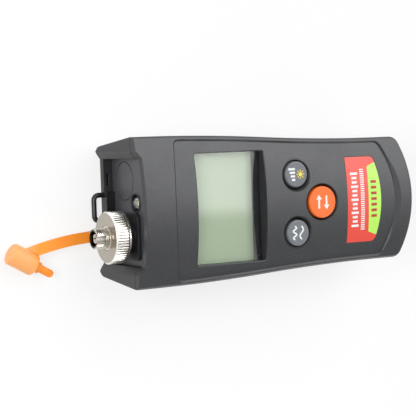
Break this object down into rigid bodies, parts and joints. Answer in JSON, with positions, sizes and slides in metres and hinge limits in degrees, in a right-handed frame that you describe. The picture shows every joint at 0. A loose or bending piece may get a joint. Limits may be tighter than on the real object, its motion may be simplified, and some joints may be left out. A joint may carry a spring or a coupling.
{
  "type": "optical power meter",
  "caption": "Pocket optical power meter with a display, three round keys, a knurled fibre adapter, a dust plug on a strap and a lanyard loop.",
  "frame": {"origin": "centre of the flat back, midway between the horn ends and the far end", "axes": "+Z out of the face, +Y to the connector end, +X to the meter's right-hand side"},
  "size_m": [0.057, 0.167, 0.0343],
  "materials": {
    "case_grey": "fine spark-eroded texture",
    "panel_grey": "satin",
    "black_plastic": "satin",
    "nickel": "turned nickel plate",
    "steel": "zinc plated",
    "ceramic_white": "polished",
    "orange_silicone": "satin",
    "clear_lens": "clear",
    "window_clear": "clear",
    "lcd_green": "reflective LCD, blank",
    "rubber_grey": "matt",
    "board_green": "solder mask",
    "switch_black": "satin",
    "key_grey": "satin",
    "key_orange": "satin",
    "wire_black": "black coated",
    "battery_jacket": "printed jacket, plain",
    "label_print": "laminated label, red with a lime band"
  },
  "bodies": {
    "housing": {"rear_case": "case_grey", "front_case": "case_grey", "end_panel": "panel_grey", "detector_receptacle": "black_plastic", "flange_screws": "steel", "photodiode": "steel", "lamp_led": "clear_lens", "lamp_holder": "black_plastic", "lanyard_loop": "wire_black", "display_window": "window_clear", "lcd_glass": "lcd_green", "lcd_frame": "black_plastic", "zebra_strips": "rubber_grey", "main_board": "board_green", "tactile_switches": "switch_black", "battery_left": "battery_jacket", "battery_right": "battery_jacket", "battery_contacts": "steel", "case_screws": "steel", "face_label": "label_print"},
    "adapter": {"adapter_insert": "nickel", "ferrule_sleeve": "ceramic_white"},
    "nut": {"coupling_nut": "nickel"},
    "plug": {"dust_plug": "orange_silicone"},
    "door": {"battery_door": "case_grey"},
    "unit_key_body": {"unit_key": "key_grey", "unit_key_plunger": "switch_black"},
    "wavelength_key_body": {"wavelength_key": "key_grey", "wavelength_key_plunger": "switch_black"},
    "function_key_body": {"function_key": "key_orange", "function_key_plunger": "switch_black"}
  },
  "joints": [
    {"name": "adapter_advance", "type": "slide", "parent": "housing", "child": "adapter", "axis": [0, 1, 0], "range_m": [0, 0.00226]},
    {"name": "nut_turn", "type": "hinge", "parent": "adapter", "child": "nut", "pos_m": [-0.00916, 0.065, 0.017], "axis": [0, 1, 0], "range_deg": [0, 1080]},
    {"name": "plug_swivel", "type": "hinge", "parent": "housing", "child": "plug", "pos_m": [-0.00916, 0.06115, 0.017], "axis": [0, 1, 0], "range_deg": [0, 35]},
    {"name": "door_slide", "type": "slide", "parent": "housing", "child": "door", "axis": [0, -1, 0], "range_m": [0, 0.06]},
    {"name": "unit_key_press", "type": "slide", "parent": "housing", "child": "unit_key_body", "axis": [0, 0, -1], "range_m": [0, 0.0006], "stiffness_N_per_m": 2500},
    {"name": "wavelength_key_press", "type": "slide", "parent": "housing", "child": "wavelength_key_body", "axis": [0, 0, -1], "range_m": [0, 0.0006], "stiffness_N_per_m": 2500},
    {"name": "function_key_press", "type": "slide", "parent": "housing", "child": "function_key_body", "axis": [0, 0, -1], "range_m": [0, 0.0006], "stiffness_N_per_m": 2500}
  ],
  "couplings": [
    {"joint": "adapter_advance", "follows": "nut_turn", "m_per_rad": 0.00011937}
  ]
}
